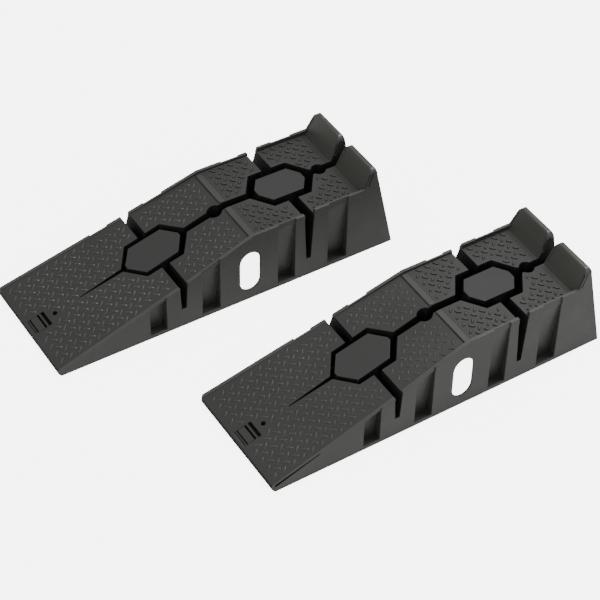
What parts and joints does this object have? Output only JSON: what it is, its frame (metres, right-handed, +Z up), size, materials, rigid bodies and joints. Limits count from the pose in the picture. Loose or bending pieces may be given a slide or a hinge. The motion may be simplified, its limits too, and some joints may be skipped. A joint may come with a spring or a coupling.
{
  "type": "vehicle service ramp pair",
  "caption": "Pair of hollow moulded plastic drive-on wheel ramps with a sloped treaded deck, sunken channels, curbs, hand holes, wheel stops and a rubber toe foot.",
  "frame": {"origin": "on the floor, under the middle of the pair's bounding box", "axes": "+X the way a wheel drives up, from the toe to the wheel stops, +Y to the left, +Z up"},
  "size_m": [1.148, 0.8074, 0.234],
  "materials": {
    "ramp_plastic": "matte black moulded polypropylene with a fine grain",
    "foot_rubber": "matte black rubber",
    "clip_plastic": "matte black moulded plastic"
  },
  "bodies": {
    "left_ramp": {"left_ramp_body": "ramp_plastic", "left_non_skid_foot": "foot_rubber", "left_foot_clip": "clip_plastic"},
    "right_ramp": {"right_ramp_body": "ramp_plastic", "right_non_skid_foot": "foot_rubber", "right_foot_clip": "clip_plastic"}
  },
  "joints": [
    {"name": "track_width", "type": "slide", "parent": "left_ramp", "child": "right_ramp", "axis": [0, -1, 0], "range_m": [-0.19, 1.24]}
  ]
}
